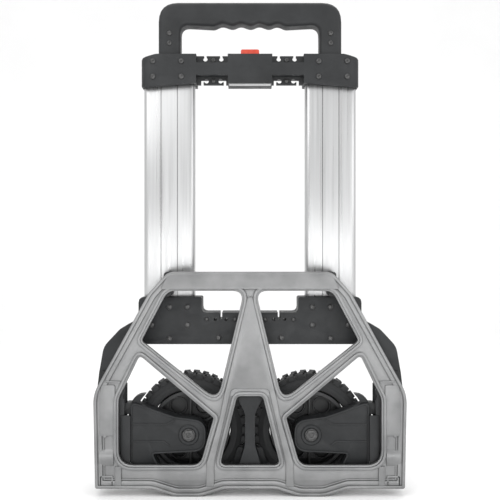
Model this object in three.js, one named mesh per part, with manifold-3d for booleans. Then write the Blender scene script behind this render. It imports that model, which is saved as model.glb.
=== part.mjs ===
// Folding hand truck, shown folded: a cast toe plate stands up in front of two wheels that are
// folded flat between side posts, under two aluminium stiles and a telescoping U handle.
// Millimetres, +Z up, +X to the right, +Y from the toe plate towards the back.
// The origin is under the middle of the object, on the floor it stands on.
import * as THREE from "three";
import { mergeVertices } from "three/addons/utils/BufferGeometryUtils.js";
import Module from "manifold-3d";

const wasm = await Module();
wasm.setup();

// ---- driving dimensions ----------------------------------------------------------------
const CLEARANCE = 0.3; // gap kept between pieces that touch
const RUNNING = 0.5; // gap round a piece that slides or turns

const PLATE_WIDTH = 490;
const PLATE_HEIGHT = 351;
const PLATE_THICKNESS = 12;
const PLATE_SKIN = 7; // the load carrying web behind the ribs
const RIM_WIDTH = 7; // rib round the outline
const LIP_WIDTH = 4; // rib round each window
const LIP_FLANGE = 5; // flat strip between a window and its rib

const TOP = 788; // top of the handle
const HINGE_DEPTH = PLATE_THICKNESS + 20; // both hinge axes lie this far behind the outer face
const HINGE_HEIGHT = 32; // so the plate comes down flat on the floor when it unfolds

const WHEEL_RADIUS = 92;
const TYRE_WIDTH = 48;
const RIM_RADIUS = 64;
const WHEEL_X = WHEEL_RADIUS + 5; // wheel axle from the centre line
const ARM_FRONT = PLATE_THICKNESS + 7; // front face of a wheel arm
const ARM_THICKNESS = 26;
const WHEEL_GAP = 5; // from the arm's back face to the tyre
const ARM_HINGE_X = PLATE_WIDTH / 2 - 38;
const KNUCKLE_RADIUS = 11;
const PIN_RADIUS = 5;
const AXLE_RADIUS = 6;

const STILE_X = 131.5;
const STILE_WIDTH = 83;
const STILE_DEPTH = 26;
const STILE_WALL = 2.5;
const FRAME_DEPTH = 66; // middle plane of the stiles, and parting plane of the housings
const HOUSING_HALF = 24; // from the parting plane to the housings' front and back faces

const HEAD_HALF_WIDTH = 177;
const HEAD_HEIGHT = 52;
const HEAD_TOP = TOP - 86;
const HEAD_BOTTOM = HEAD_TOP - HEAD_HEIGHT;
const BRACKET_HALF_WIDTH = 180;
const BRACKET_BOTTOM = 233;
const BRACKET_TOP = 309; // over the stiles
const BRACKET_MIDDLE_TOP = 284;

const TUBE_WIDTH = 22;
const TUBE_DEPTH = 17;
const TUBE_WALL = 2;
const TUBE_BOTTOM = 300;
const HANDLE_TRAVEL = 260;
const GRIP_HALF_WIDTH = 149;
const GRIP_LEG_WIDTH = 36;
const GRIP_BAR_BOTTOM = TOP - 36;
const GRIP_DEPTH = 34;

const BUTTON_WIDTH = 30;
const BUTTON_RISE = 11;
const BUTTON_TRAVEL = 5;
const BOLT_RADIUS = 4;
const BOLT_HEIGHT = HEAD_TOP - 24;
const SCREW_HEAD_RADIUS = 4.5;
const SCREW_HEAD_HEIGHT = 2.5;
const SCREW_SHANK_RADIUS = 2.2;
const SCREW_REACH = HOUSING_HALF - STILE_DEPTH / 2 - 1;

const GEAR_TEETH = 12;
const GEAR_NEAR = 10; // cone distance along the axis where the teeth start
const GEAR_FAR = 16.5;

// ---- sizes worked out from them ---------------------------------------------------------
const ARM_BACK = ARM_FRONT + ARM_THICKNESS;
const TYRE_FRONT = ARM_BACK + WHEEL_GAP;
const TYRE_BACK = TYRE_FRONT + TYRE_WIDTH;
const HUB_CAP_HEIGHT = 6;
const TOTAL_DEPTH = TYRE_BACK + HUB_CAP_HEIGHT;
const HOUSING_FRONT = FRAME_DEPTH - HOUSING_HALF;
const HOUSING_BACK = FRAME_DEPTH + HOUSING_HALF;
const STILE_INNER = STILE_X - STILE_WIDTH / 2;
const STILE_OUTER = STILE_X + STILE_WIDTH / 2;

// ---- materials --------------------------------------------------------------------------
const paint = (color, roughness, metalness) =>
  new THREE.MeshStandardMaterial({ color, roughness, metalness });
const CAST = () => paint(0xa4a6a6, 0.45, 0.85);
const ANODISED = () => paint(0xd2d4d6, 0.3, 0.9);
const PLASTIC = () => paint(0x2f3133, 0.6, 0);
const STEEL = () => paint(0x8d8f92, 0.35, 0.95);
const RUBBER = () => paint(0x1c1d1e, 0.85, 0);
const RED = () => paint(0xb5281c, 0.4, 0);

// ---- solids -----------------------------------------------------------------------------
// A closed three.js geometry as a manifold solid, and back.
function solid(geometry) {
  const bare = geometry.clone();
  bare.deleteAttribute("normal");
  bare.deleteAttribute("uv");
  const merged = mergeVertices(bare, 1e-4);
  return new wasm.Manifold(
    new wasm.Mesh({
      numProp: 3,
      vertProperties: new Float32Array(merged.attributes.position.array),
      triVerts: new Uint32Array(merged.index.array),
    }),
  );
}

function geometryOf(manifold) {
  const { vertProperties, triVerts } = manifold.getMesh();
  const geometry = new THREE.BufferGeometry();
  geometry.setAttribute("position", new THREE.BufferAttribute(vertProperties, 3));
  geometry.setIndex(new THREE.BufferAttribute(triVerts, 1));
  return geometry;
}

const join = (...pieces) => pieces.reduce((whole, piece) => whole.add(piece));
const cut = (whole, ...tools) => tools.reduce((rest, tool) => rest.subtract(tool), whole);

// A closed outline from corners [x, y, radius]; a corner without a radius is sharp.
function outline(corners) {
  const shape = new THREE.Shape();
  corners.forEach(([x, y, r = 0], i) => {
    const corner = new THREE.Vector2(x, y);
    const before = new THREE.Vector2(...corners.at(i - 1).slice(0, 2)).sub(corner);
    const after = new THREE.Vector2(...corners[(i + 1) % corners.length].slice(0, 2)).sub(corner);
    const bend = Math.PI - Math.acos(before.dot(after) / (before.length() * after.length()));
    const back = r * Math.tan(bend / 2);
    const start = corner.clone().addScaledVector(before.normalize(), back);
    const end = corner.clone().addScaledVector(after.normalize(), back);
    if (i === 0) shape.moveTo(start.x, start.y);
    else shape.lineTo(start.x, start.y);
    if (r > 0) shape.quadraticCurveTo(x, y, end.x, end.y);
  });
  return shape;
}

// The same corners moved sideways by a distance: positive shrinks an outline that turns left.
function inset(corners, distance) {
  return corners.map(([x, y, r = 0], i) => {
    const [px, py] = corners.at(i - 1);
    const [nx, ny] = corners[(i + 1) % corners.length];
    const a = new THREE.Vector2(x - px, y - py).normalize();
    const b = new THREE.Vector2(nx - x, ny - y).normalize();
    const turn = a.cross(b);
    const left = new THREE.Vector2(-a.y, a.x).add(new THREE.Vector2(-b.y, b.x));
    const reach = distance / (1 + a.dot(b));
    const radius = r > 0 ? Math.max(r - Math.sign(turn) * distance, 1) : 0;
    return [x + left.x * reach, y + left.y * reach, radius];
  });
}

const mirrored = (corners) => corners.map(([x, y, r]) => [-x, y, r]).reverse();

const extrude = (shape, depth, curveSegments = 3) =>
  new THREE.ExtrudeGeometry(shape, { depth, curveSegments, bevelEnabled: false });

// Slabs of an outline: drawn from the front (X, Z), from above (X, Y) or from the side (Y, Z).
const frontSlab = (shape, from, to, segments) =>
  solid(extrude(shape, to - from, segments).rotateX(Math.PI / 2).translate(0, to, 0));
const planSlab = (shape, from, to, segments) =>
  solid(extrude(shape, to - from, segments).translate(0, 0, from));
function sideSlab(shape, from, to, segments) {
  const turn = new THREE.Matrix4().makeBasis(
    new THREE.Vector3(0, 1, 0),
    new THREE.Vector3(0, 0, 1),
    new THREE.Vector3(1, 0, 0),
  );
  return solid(extrude(shape, to - from, segments).applyMatrix4(turn).translate(from, 0, 0));
}

function block(x0, x1, y0, y1, z0, z1) {
  const box = new THREE.BoxGeometry(x1 - x0, y1 - y0, z1 - z0);
  return solid(box.translate((x0 + x1) / 2, (y0 + y1) / 2, (z0 + z1) / 2));
}

// Round bars along X, Y or Z; the two free coordinates of the axis come first.
const barX = (y, z, r, x0, x1, sides = 16) =>
  solid(
    new THREE.CylinderGeometry(r, r, x1 - x0, sides)
      .rotateZ(Math.PI / 2)
      .translate((x0 + x1) / 2, y, z),
  );
const barY = (x, z, r, y0, y1, sides = 16) =>
  solid(new THREE.CylinderGeometry(r, r, y1 - y0, sides).translate(x, (y0 + y1) / 2, z));
const barZ = (x, y, r, z0, z1, sides = 16) =>
  solid(
    new THREE.CylinderGeometry(r, r, z1 - z0, sides)
      .rotateX(Math.PI / 2)
      .translate(x, y, (z0 + z1) / 2),
  );

// A turned piece: profile [radius, distance along the axis], with the axis along Y.
const turnedY = (x, z, profile, sides = 32) =>
  solid(
    new THREE.LatheGeometry(
      profile.map(([r, y]) => new THREE.Vector2(r, y)),
      sides,
    ).translate(x, 0, z),
  );

// A coil spring of round wire round a vertical axis at the origin, from z = 0 up.
function coil(radius, wire, length, turns) {
  const steps = turns * 8;
  const points = Array.from({ length: steps + 1 }, (_, i) => {
    const angle = (i / 8) * 2 * Math.PI;
    const z = wire + (i / steps) * (length - 2 * wire);
    return new THREE.Vector3(radius * Math.cos(angle), radius * Math.sin(angle), z);
  });
  const path = new THREE.CatmullRomCurve3(points);
  const section = new THREE.Shape(new THREE.Path().absarc(0, 0, wire, 0, 2 * Math.PI).getPoints(3));
  return new THREE.ExtrudeGeometry(section, { steps, extrudePath: path, bevelEnabled: false });
}

const truck = new THREE.Group();
truck.name = "hand_truck";
truck.position.y = -TOTAL_DEPTH / 2; // depths below are counted from the plate's outer face

function add(name, shape, material) {
  const geometry = shape.isBufferGeometry ? shape : geometryOf(shape);
  const mesh = new THREE.Mesh(geometry, material());
  mesh.name = name;
  truck.add(mesh);
  return mesh;
}

// Makes a piece on each side: make(side) gets -1 for the left and +1 for the right.
function pair(name, material, make) {
  add(name + "_left", make(-1), material);
  add(name + "_right", make(1), material);
}
const onSide = (side, shape) => (side > 0 ? shape : shape.mirror([1, 0, 0]));

// ---- toe plate: cast frame, ribbed on its outer face, flat on its load face ---------------
const HALF = PLATE_WIDTH / 2;
const PLATE_EDGE = 12; // height of the straight bottom edge; two lobes reach down to the floor
const LOBE_HALF = 57;
const BAND_TOP = 48; // top of the bottom band
const BAR_WIDTH = 39; // side bars
const TOP_BAR = 30;
const LUG_X = ARM_HINGE_X + GEAR_FAR + 0.8;
const LUG_THICKNESS = 7;
const PLATE_PIN_RADIUS = 5;

const plateSide = [
  [HALF - 3, PLATE_EDGE, 4],
  [HALF, 160, 60],
  [HALF - 87, PLATE_HEIGHT - 33, 40],
  [HALF - 117, PLATE_HEIGHT, 22],
];
const lobe = (x) => [
  [x - LOBE_HALF, PLATE_EDGE, 30],
  [x - LOBE_HALF / 3, 0, 45],
  [x + LOBE_HALF / 3, 0, 45],
  [x + LOBE_HALF, PLATE_EDGE, 30],
];
const plateOutline = [...lobe(-WHEEL_X), ...lobe(WHEEL_X), ...plateSide, ...mirrored(plateSide)];
const upperWindow = [
  [9, PLATE_HEIGHT - TOP_BAR, 15],
  [51, 148, 16],
  [HALF - 75, 243, 6],
  [HALF - 116, PLATE_HEIGHT - TOP_BAR, 20],
].reverse();
const lowerWindow = [
  [78, BAND_TOP, 18],
  [HALF - BAR_WIDTH, BAND_TOP, 24],
  [HALF - BAR_WIDTH, 152, 30],
  [HALF - 72, 220, 6],
  [57, 122, 4],
];
const centreWindow = [
  [-47, BAND_TOP, 8],
  [47, BAND_TOP, 8],
  [20, 156, 8],
  [-20, 156, 8],
];
const windows = [
  upperWindow,
  mirrored(upperWindow),
  lowerWindow,
  mirrored(lowerWindow),
  centreWindow,
];
const openings = windows.map((w) => frontSlab(outline(w), -1, PLATE_THICKNESS + 1));
const ribDepth = PLATE_THICKNESS - PLATE_SKIN;

function windowLip(corners) {
  const outer = frontSlab(outline(inset(corners, -LIP_FLANGE - LIP_WIDTH)), 0, ribDepth + 1);
  return cut(outer, frontSlab(outline(inset(corners, -LIP_FLANGE)), -1, ribDepth + 2));
}

function plateLug(side) {
  const profile = outline([
    [PLATE_THICKNESS - 2, 16],
    [HINGE_DEPTH, HINGE_HEIGHT - 15, 12],
    [HINGE_DEPTH + 15, HINGE_HEIGHT, 12],
    [HINGE_DEPTH, HINGE_HEIGHT + 15, 12],
    [PLATE_THICKNESS - 2, 60],
  ]);
  return onSide(side, sideSlab(profile, LUG_X, LUG_X + LUG_THICKNESS));
}

function toePlate() {
  const skin = frontSlab(outline(plateOutline), ribDepth, PLATE_THICKNESS);
  const rim = cut(
    frontSlab(outline(plateOutline), 0, ribDepth + 1),
    frontSlab(outline(inset(plateOutline, RIM_WIDTH)), -1, ribDepth + 2),
  );
  const barrels = [-1, 1].map((side) =>
    onSide(side, barX(21, 66, 20, HALF - 31, HALF - 8, 24)).intersect(
      block(-HALF, HALF, 0, PLATE_THICKNESS, 0, PLATE_HEIGHT),
    ),
  );
  const body = cut(join(skin, rim, ...windows.map(windowLip), ...barrels), ...openings);
  const whole = join(body, plateLug(-1), plateLug(1));
  const bore = PLATE_PIN_RADIUS + CLEARANCE;
  return cut(whole, barX(HINGE_DEPTH, HINGE_HEIGHT, bore, -HALF, HALF));
}
add("toe_plate", toePlate(), CAST);

// ---- mitre gears: the plate's turn swings the wheel arms ---------------------------------
// Teeth, flanks and roots all point at the cone's apex, where the two hinge axes meet.
const GEAR_TIP = 1.08; // tip and root radius for a cone distance of 1
const GEAR_ROOT = 0.84;
const TOOTH_SHARE = 0.36; // of the pitch, so that the teeth run with some play

function mitreGear(phase, bore) {
  const pitch = (2 * Math.PI) / GEAR_TEETH;
  const shape = new THREE.Shape();
  for (let tooth = 0; tooth < GEAR_TEETH; tooth++) {
    const middle = (tooth + phase) * pitch;
    const flank = (TOOTH_SHARE * pitch) / 2;
    [
      [GEAR_ROOT, -1.35],
      [GEAR_TIP, -0.6],
      [GEAR_TIP, 0.6],
      [GEAR_ROOT, 1.35],
    ].forEach(([r, share], corner) => {
      const angle = middle + share * flank;
      const move = tooth + corner === 0 ? "moveTo" : "lineTo";
      shape[move](r * Math.cos(angle), r * Math.sin(angle));
    });
  }
  const geometry = extrude(shape, GEAR_FAR - GEAR_NEAR).translate(0, 0, GEAR_NEAR);
  const position = geometry.attributes.position;
  for (let i = 0; i < position.count; i++) {
    const distance = position.getZ(i);
    position.setXYZ(i, position.getX(i) * distance, position.getY(i) * distance, distance);
  }
  return cut(solid(geometry), barZ(0, 0, bore, 0, GEAR_FAR + 1));
}

const plateGear = mitreGear(0, PLATE_PIN_RADIUS + CLEARANCE);
const armGear = mitreGear(0.5, PIN_RADIUS + CLEARANCE);
pair("plate_gear", STEEL, (side) =>
  onSide(side, plateGear.rotate([0, 90, 0]).translate([ARM_HINGE_X, HINGE_DEPTH, HINGE_HEIGHT])),
);
pair("arm_gear", STEEL, (side) =>
  onSide(side, armGear.translate([ARM_HINGE_X, HINGE_DEPTH, HINGE_HEIGHT])),
);

// ---- wheel arms --------------------------------------------------------------------------
const GEAR_TOP = HINGE_HEIGHT + GEAR_FAR;
const PIN_TOP = 176;
// Knuckles on the hinge pin, from the gear up: the arm's and the post's take turns.
const armKnuckles = [
  [GEAR_TOP + CLEARANCE, 66],
  [86, 104],
  [124, 142],
];
const postKnuckles = [
  [66 + CLEARANCE, 86 - CLEARANCE],
  [104 + CLEARANCE, 124 - CLEARANCE],
  [142 + CLEARANCE, PIN_TOP - 4],
];
const armRoot = ARM_HINGE_X - 18;
const armCorners = [
  [144, 40, 4],
  [armRoot, 40, 6],
  [armRoot, 145, 8],
  [120, 121, 20],
  [70, 114, 21],
  [70, 66, 21],
  [154, 62, 3],
];
const ARM_WALL = 5;

function armLobe() {
  const lobeX = 170;
  const ring = barY(lobeX, 134, 21, ARM_FRONT + 8, ARM_BACK, 20);
  const tyreRoom = barY(WHEEL_X, WHEEL_RADIUS, WHEEL_RADIUS + 2, ARM_FRONT, TYRE_BACK, 48);
  return cut(ring, tyreRoom, block(armRoot, 300, 0, 90, 0, 300));
}

function wheelArm(side) {
  const shell = frontSlab(outline(armCorners), ARM_FRONT, ARM_BACK, 4);
  const hollow = frontSlab(outline(inset(armCorners, ARM_WALL)), ARM_FRONT + 8, ARM_BACK + 1, 2);
  const boss = barY(WHEEL_X, WHEEL_RADIUS, 16, ARM_FRONT + 1, ARM_BACK + 2, 16);
  const knuckles = armKnuckles.map(([z0, z1]) =>
    join(
      barZ(ARM_HINGE_X, HINGE_DEPTH, KNUCKLE_RADIUS, z0, z1),
      block(armRoot - 3, ARM_HINGE_X, HINGE_DEPTH - 10, HINGE_DEPTH + 10, z0, z1),
    ),
  );
  const web = block(
    armRoot - 3, ARM_HINGE_X - KNUCKLE_RADIUS, ARM_BACK - 2.5, ARM_BACK,
    armKnuckles[0][0], armKnuckles[2][1],
  );
  const whole = join(cut(shell, hollow), boss, armLobe(), web, ...knuckles);
  const pin = barZ(ARM_HINGE_X, HINGE_DEPTH, PIN_RADIUS + CLEARANCE, 0, PIN_TOP + 5);
  const axle = barY(WHEEL_X, WHEEL_RADIUS, AXLE_RADIUS + CLEARANCE, 0, ARM_BACK + 5);
  return onSide(side, cut(whole, pin, axle));
}
pair("wheel_arm", PLASTIC, wheelArm);
pair("arm_hinge_pin", STEEL, (side) =>
  onSide(
    side,
    join(
      barZ(ARM_HINGE_X, HINGE_DEPTH, PIN_RADIUS, HINGE_HEIGHT + 8, PIN_TOP),
      barZ(ARM_HINGE_X, HINGE_DEPTH, PIN_RADIUS + 3, PIN_TOP, PIN_TOP + 3),
    ),
  ),
);

// ---- wheels: tyre, rim, two bearings and a cap on a stub axle -----------------------------
const BEARING_RADIUS = 16;
const BEARING_WIDTH = 10;
const HUB_FRONT = ARM_BACK + 3;
const HUB_BACK = TYRE_BACK;
const WEB_MIDDLE = (TYRE_FRONT + TYRE_BACK) / 2;

function tyre(side) {
  const [y0, y1, r0, r1] = [TYRE_FRONT, TYRE_BACK, RIM_RADIUS + CLEARANCE, WHEEL_RADIUS];
  const profile = [
    [r0, y0 + 4],
    [r0 + 3, y0],
    [r1 - 10, y0],
    [r1, y0 + 10],
    [r1, y1 - 10],
    [r1 - 10, y1],
    [r0 + 3, y1],
    [r0, y1 - 4],
    [r0, y0 + 4],
  ];
  return onSide(side, turnedY(WHEEL_X, WHEEL_RADIUS, profile, 40));
}

function rim(side) {
  const [web, hub] = [5, 21];
  const profile = [
    [BEARING_RADIUS - 4, HUB_FRONT],
    [hub, HUB_FRONT],
    [hub, WEB_MIDDLE - web],
    [RIM_RADIUS - 5, WEB_MIDDLE - web],
    [RIM_RADIUS - 5, TYRE_FRONT + 3],
    [RIM_RADIUS, TYRE_FRONT + 3],
    [RIM_RADIUS, TYRE_BACK - 3],
    [RIM_RADIUS - 5, TYRE_BACK - 3],
    [RIM_RADIUS - 5, WEB_MIDDLE + web],
    [hub, WEB_MIDDLE + web],
    [hub, HUB_BACK],
    [BEARING_RADIUS - 4, HUB_BACK],
    [BEARING_RADIUS - 4, HUB_FRONT],
  ];
  const seats = [
    [HUB_FRONT - 1, HUB_FRONT + BEARING_WIDTH],
    [HUB_BACK - BEARING_WIDTH, HUB_BACK + 1],
  ].map(([y0, y1]) => barY(WHEEL_X, WHEEL_RADIUS, BEARING_RADIUS + CLEARANCE, y0, y1, 20));
  const holes = Array.from({ length: 6 }, (_, i) => {
    const angle = (i * Math.PI) / 3;
    const [x, z] = [WHEEL_X + 42 * Math.cos(angle), WHEEL_RADIUS + 42 * Math.sin(angle)];
    return barY(x, z, 12.5, TYRE_FRONT, WEB_MIDDLE + 2, 10); // blind, with a thin floor
  });
  return onSide(side, cut(turnedY(WHEEL_X, WHEEL_RADIUS, profile), ...seats, ...holes));
}

function bearing(side, y0) {
  const profile = [
    [AXLE_RADIUS + CLEARANCE, y0],
    [BEARING_RADIUS, y0],
    [BEARING_RADIUS, y0 + BEARING_WIDTH - CLEARANCE],
    [AXLE_RADIUS + CLEARANCE, y0 + BEARING_WIDTH - CLEARANCE],
    [AXLE_RADIUS + CLEARANCE, y0],
  ];
  return onSide(side, turnedY(WHEEL_X, WHEEL_RADIUS, profile, 16));
}

const stubAxle = (side) =>
  onSide(
    side,
    join(
      barY(WHEEL_X, WHEEL_RADIUS, AXLE_RADIUS, ARM_FRONT - 1, HUB_BACK + 1),
      barY(WHEEL_X, WHEEL_RADIUS, 9, ARM_FRONT - 4, ARM_FRONT - CLEARANCE, 6),
    ),
  );
const hubCap = (side) => {
  const cap = barY(WHEEL_X, WHEEL_RADIUS, 15, HUB_BACK + CLEARANCE, TOTAL_DEPTH, 20);
  const room = barY(WHEEL_X, WHEEL_RADIUS, AXLE_RADIUS + 2, HUB_BACK, HUB_BACK + 3);
  return onSide(side, cut(cap, room));
};
pair("axle", STEEL, stubAxle);
pair("tyre", RUBBER, tyre);
pair("rim", PLASTIC, rim);
pair("inner_bearing", STEEL, (side) => bearing(side, HUB_FRONT + CLEARANCE));
pair("outer_bearing", STEEL, (side) => bearing(side, HUB_BACK - BEARING_WIDTH + CLEARANCE));
pair("hub_cap", PLASTIC, hubCap);

// ---- side posts: from the lower bracket's ends down to the plate's hinge pins ---------------
const POST_OUTER = PLATE_WIDTH / 2 - 1;
const POST_X = POST_OUTER - 12;
const POST_BACK = ARM_BACK - 1;
const SHOULDER_BOTTOM = 192; // over the swing of the wheels
const POST_FRONT = ARM_FRONT + 1;
const POST_WEB_BOTTOM = 66; // over the gears
const WEB_INNER = ARM_HINGE_X - 9;
const SCALLOP_PITCH = 18;

function sidePost(side) {
  const shoulder = frontSlab(
    outline([
      [BRACKET_HALF_WIDTH + CLEARANCE, 236],
      [WEB_INNER + 1, 208],
      [WEB_INNER + 1, SHOULDER_BOTTOM],
      [POST_OUTER - 5, SHOULDER_BOTTOM],
      [POST_OUTER - 12, 232, 30],
      [POST_OUTER - 38, 260, 30],
      [BRACKET_HALF_WIDTH + CLEARANCE, 274],
    ]),
    POST_FRONT,
    HOUSING_BACK - 10,
    4,
  );
  const leg = frontSlab(
    outline([
      [POST_X, HINGE_HEIGHT],
      [POST_OUTER, HINGE_HEIGHT],
      [POST_OUTER, 150, 30],
      [POST_OUTER - 5, SHOULDER_BOTTOM + 1],
      [POST_X, SHOULDER_BOTTOM + 1],
    ]),
    POST_FRONT,
    POST_BACK,
  );
  const foot = barX(HINGE_DEPTH, HINGE_HEIGHT, 12, POST_X, POST_OUTER);
  const scallops = [0, 1, 2].flatMap((i) => [
    [WEB_INNER + 3, SHOULDER_BOTTOM - 3 - i * SCALLOP_PITCH, 3],
    [WEB_INNER, SHOULDER_BOTTOM - 3 - (i + 0.5) * SCALLOP_PITCH, 5],
  ]);
  const web = frontSlab(
    outline([
      [POST_X + 2, SHOULDER_BOTTOM + 2],
      ...scallops,
      [WEB_INNER + 3, POST_WEB_BOTTOM, 6],
      [POST_X + 2, POST_WEB_BOTTOM],
    ]),
    POST_FRONT - 5,
    POST_FRONT + 1,
  );
  const knuckles = postKnuckles.map(([z0, z1]) =>
    join(
      barZ(ARM_HINGE_X, HINGE_DEPTH, KNUCKLE_RADIUS, z0, z1),
      block(ARM_HINGE_X, POST_X + 2, HINGE_DEPTH - 10, HINGE_DEPTH + 10, z0, z1),
    ),
  );
  const pin = barZ(ARM_HINGE_X, HINGE_DEPTH, PIN_RADIUS + CLEARANCE, 0, PIN_TOP);
  const rod = barX(HINGE_DEPTH, HINGE_HEIGHT, PLATE_PIN_RADIUS + CLEARANCE, 200, POST_OUTER - 3);
  return onSide(side, cut(join(shoulder, leg, web, foot, ...knuckles), pin, rod));
}
pair("side_post", PLASTIC, sidePost);
add(
  "plate_hinge_rod",
  barX(HINGE_DEPTH, HINGE_HEIGHT, PLATE_PIN_RADIUS, -POST_OUTER + 4, POST_OUTER - 4),
  STEEL,
);

// ---- spine: from the lower bracket down between the wheels to the hinge rod -----------------
const SPINE_FOOT = 12;

function centreSpine() {
  const side = [
    [SPINE_FOOT, HINGE_HEIGHT - SPINE_FOOT],
    [SPINE_FOOT + 5, 46, 6],
    [8, 76, 20],
    [8, 128, 20],
    [24, 158, 8],
    [24, BRACKET_BOTTOM - CLEARANCE],
  ];
  const profile = frontSlab(
    outline([...side, ...mirrored(side)]),
    PLATE_THICKNESS + 2,
    HOUSING_FRONT + 6,
  );
  const hingeRoom = cut(
    block(-30, 30, 0, HOUSING_BACK, 0, HINGE_HEIGHT + SPINE_FOOT),
    barX(HINGE_DEPTH, HINGE_HEIGHT, SPINE_FOOT, -30, 30, 24),
    block(-30, 30, HINGE_DEPTH - SPINE_FOOT, HINGE_DEPTH + SPINE_FOOT, HINGE_HEIGHT, 60),
  );
  const rod = barX(HINGE_DEPTH, HINGE_HEIGHT, PLATE_PIN_RADIUS + CLEARANCE, -30, 30);
  return cut(profile, hingeRoom, rod);
}
add("centre_spine", centreSpine(), PLASTIC);

// ---- stiles: three-chamber aluminium extrusions ---------------------------------------------
const STILE_BOTTOM = BRACKET_BOTTOM + 10;
const STILE_TOP = HEAD_TOP - 8;
const GROOVE = 1.4;
const CHAMBER_HALF = TUBE_WIDTH / 2 + 1;
const TUBE_ROOM = TUBE_DEPTH / 2 + 1;

function stileSection(grow) {
  const [x0, x1] = [STILE_INNER - grow, STILE_OUTER + grow];
  const [y0, y1] = [FRAME_DEPTH - STILE_DEPTH / 2 - grow, FRAME_DEPTH + STILE_DEPTH / 2 + grow];
  return outline([
    [x0, y0, 8],
    [x1, y0, 8],
    [x1, y1, 8],
    [x0, y1, 8],
  ]);
}

function stile(side) {
  const section = stileSection(0);
  const sideRoom = STILE_DEPTH / 2 - STILE_WALL;
  const chambers = [
    [STILE_INNER + STILE_WALL, STILE_X - CHAMBER_HALF - STILE_WALL, sideRoom],
    [STILE_X - CHAMBER_HALF, STILE_X + CHAMBER_HALF, TUBE_ROOM],
    [STILE_X + CHAMBER_HALF + STILE_WALL, STILE_OUTER - STILE_WALL, sideRoom],
  ].map(([x0, x1, half]) =>
    planSlab(
      outline([
        [x0, FRAME_DEPTH - half, 3],
        [x1, FRAME_DEPTH - half, 3],
        [x1, FRAME_DEPTH + half, 3],
        [x0, FRAME_DEPTH + half, 3],
      ]),
      STILE_BOTTOM - 1,
      STILE_TOP + 1,
      2,
    ),
  );
  const grooves = [-1, 1].flatMap((edge) =>
    [-1, 1].map((face) =>
      block(
        STILE_X + edge * (CHAMBER_HALF + 1.3) - GROOVE / 2,
        STILE_X + edge * (CHAMBER_HALF + 1.3) + GROOVE / 2,
        FRAME_DEPTH + face * (STILE_DEPTH / 2) - GROOVE,
        FRAME_DEPTH + face * (STILE_DEPTH / 2) + GROOVE,
        STILE_BOTTOM - 1,
        STILE_TOP + 1,
      ),
    ),
  );
  const boltHole = barX(FRAME_DEPTH, BOLT_HEIGHT, BOLT_RADIUS + RUNNING, STILE_INNER - 1, STILE_X);
  const body = planSlab(section, STILE_BOTTOM, STILE_TOP, 4);
  return onSide(side, cut(body, ...chambers, ...grooves, boltHole));
}
pair("stile", ANODISED, stile);

// ---- head and lower bracket: moulded housings in two shells ---------------------------------
const RECESS_INNER = 36;
const RECESS_OUTER = 87;
const WEB_BOTTOM = BOLT_HEIGHT - 10;
const WEB_TOP = BOLT_HEIGHT + 10;
const HEAD_MIDDLE_BOTTOM = HEAD_BOTTOM + 5;
const WALL_FRONT = HOUSING_FRONT + 16;
const WALL_BACK = FRAME_DEPTH;
const CENTRE_ROOM = 24; // half width of the latch chamber
const ROOM_DEPTH = 9;

const headCorners = [
  [-HEAD_HALF_WIDTH, HEAD_BOTTOM - 2, 5],
  [-RECESS_OUTER, HEAD_MIDDLE_BOTTOM],
  [RECESS_OUTER, HEAD_MIDDLE_BOTTOM],
  [HEAD_HALF_WIDTH, HEAD_BOTTOM - 2, 5],
  [HEAD_HALF_WIDTH, HEAD_TOP - 7, 7],
  [HEAD_HALF_WIDTH - 25, HEAD_TOP, 20],
  [-HEAD_HALF_WIDTH + 25, HEAD_TOP, 20],
  [-HEAD_HALF_WIDTH, HEAD_TOP - 7, 7],
];
const housingScrews = [111, 157].flatMap((x) => [HEAD_TOP - 12, HEAD_BOTTOM + 15].map((z) => [x, z]));

// The rounded ends of a housing, seen from above.
function housingPlan(halfWidth, bottom, top) {
  const shape = outline([
    [-halfWidth, HOUSING_FRONT, 16],
    [halfWidth, HOUSING_FRONT, 16],
    [halfWidth, HOUSING_BACK, 16],
    [-halfWidth, HOUSING_BACK, 16],
  ]);
  return planSlab(shape, bottom, top, 4);
}

// Keyholes in the thin walls of the head's recesses, where straps hook in.
function keyholes() {
  const high = HEAD_TOP - 5;
  const upper = [47, 73].map((x) =>
    join(
      barY(x, high, 3.7, WALL_FRONT - 1, WALL_BACK + 1, 12),
      block(x - 2, x + 2, WALL_FRONT - 1, WALL_BACK + 1, high, HEAD_TOP + 1),
    ),
  );
  const low = HEAD_MIDDLE_BOTTOM + 6;
  const lower = [
    [48, 41],
    [71, 78],
  ].map(([x, slot]) =>
    join(
      barY(x, low, 3.7, WALL_FRONT - 1, WALL_BACK + 1, 12),
      block(Math.min(x, slot), Math.max(x, slot), WALL_FRONT - 1, WALL_BACK + 1, low - 1.5, low + 1.5),
      block(slot - 2, slot + 2, WALL_FRONT - 1, WALL_BACK + 1, HEAD_BOTTOM - 1, low + 1.5),
    ),
  );
  return join(...upper, ...lower);
}

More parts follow.
